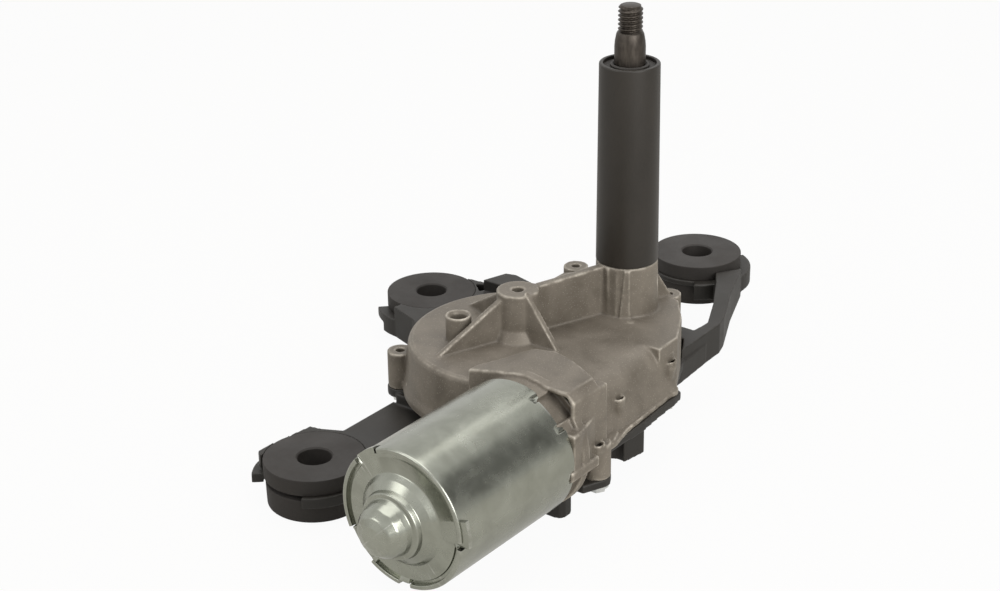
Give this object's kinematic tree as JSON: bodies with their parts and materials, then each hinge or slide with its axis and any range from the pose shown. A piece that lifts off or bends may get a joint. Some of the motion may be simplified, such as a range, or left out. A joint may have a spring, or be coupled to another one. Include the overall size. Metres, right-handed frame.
{
  "type": "wiper motor",
  "caption": "Geared electric wiper motor: cylindrical motor can on a ribbed cast gear housing, long sleeved spindle with a threaded end, and an arm bracket on rubber grommets.",
  "frame": {"origin": "on the spindle's axis, level with the top of its sleeve, inside the plain end of the spindle", "axes": "+Z out along the spindle towards its threaded end; +Y along the motor's axis, from the can's closed end towards the gear case; +X completes the frame"},
  "size_m": [0.1504, 0.2465, 0.1422],
  "materials": {
    "cast_housing": "as cast, fine grain, matt",
    "black_plastic": "glass-filled, matt",
    "sleeve_plastic": "moulded, matt",
    "grommet_rubber": "moulded rubber, matt",
    "zinc_plate": "drawn sheet, zinc plated, satin",
    "screw_steel": "zinc plated, bright",
    "spindle_steel": "blackened, oiled",
    "plain_steel": "ground",
    "lamination_steel": "stacked sheets",
    "ferrite": "sintered, matt",
    "sintered_bronze": "oil filled",
    "copper": "bare copper",
    "carbon": "pressed carbon",
    "gear_plastic": "moulded, satin"
  },
  "bodies": {
    "housing": {"gear_housing": "cast_housing", "shaft_sleeve": "sleeve_plastic", "upper_bush": "sintered_bronze", "lower_bush": "sintered_bronze", "shaft_seal": "grommet_rubber", "mounting_bracket": "black_plastic", "bracket_screws": "screw_steel", "grommet_left": "grommet_rubber", "grommet_front": "grommet_rubber", "grommet_right": "grommet_rubber", "wheel_axle": "plain_steel", "wheel_washer": "plain_steel", "contact_springs": "copper", "connector_terminals": "copper", "motor_can": "zinc_plate", "can_end_plate": "zinc_plate", "end_bearing": "sintered_bronze", "bearing_clip": "plain_steel", "magnets": "ferrite", "brush_holder": "black_plastic", "carbon_brushes": "carbon", "brush_springs": "plain_steel", "drive_bearing": "sintered_bronze", "tip_bearing": "sintered_bronze"},
    "armature": {"armature_shaft": "plain_steel", "worm": "plain_steel", "armature_core": "lamination_steel", "armature_windings": "copper", "commutator": "copper"},
    "wheel": {"worm_wheel": "gear_plastic", "crank_pin": "plain_steel", "contact_disc": "copper"},
    "spindle": {"output_shaft": "spindle_steel", "output_pinion": "plain_steel", "shaft_circlips": "plain_steel"},
    "link": {"guide_link": "plain_steel", "link_pin": "plain_steel"},
    "segment": {"gear_segment": "plain_steel"}
  },
  "joints": [
    {"name": "armature_spin", "type": "hinge", "parent": "housing", "child": "armature", "pos_m": [0.0157, -0.1, -0.0971], "axis": [0, 1, 0], "continuous": true},
    {"name": "wheel_turn", "type": "hinge", "parent": "housing", "child": "wheel", "pos_m": [-0.0154, -0.0395, -0.0971], "axis": [0, 0, 1], "continuous": true},
    {"name": "shaft_sweep", "type": "hinge", "parent": "housing", "child": "spindle", "pos_m": [0, 0, 0], "axis": [0, 0, -1], "range_deg": [0, 110]},
    {"name": "link_swing", "type": "hinge", "parent": "housing", "child": "link", "pos_m": [0, 0, -0.1056], "axis": [0, 0, -1], "range_deg": [0, 25.1]},
    {"name": "segment_turn", "type": "hinge", "parent": "link", "child": "segment", "pos_m": [-0.01864, -0.01511, -0.1056], "axis": [0, 0, 1], "range_deg": [0, 42.5]}
  ],
  "couplings": [
    {"joint": "wheel_turn", "follows": "armature_spin", "ratio": -0.019231},
    {"joint": "link_swing", "follows": "shaft_sweep", "ratio": 0.228},
    {"joint": "segment_turn", "follows": "shaft_sweep", "ratio": 0.386}
  ]
}
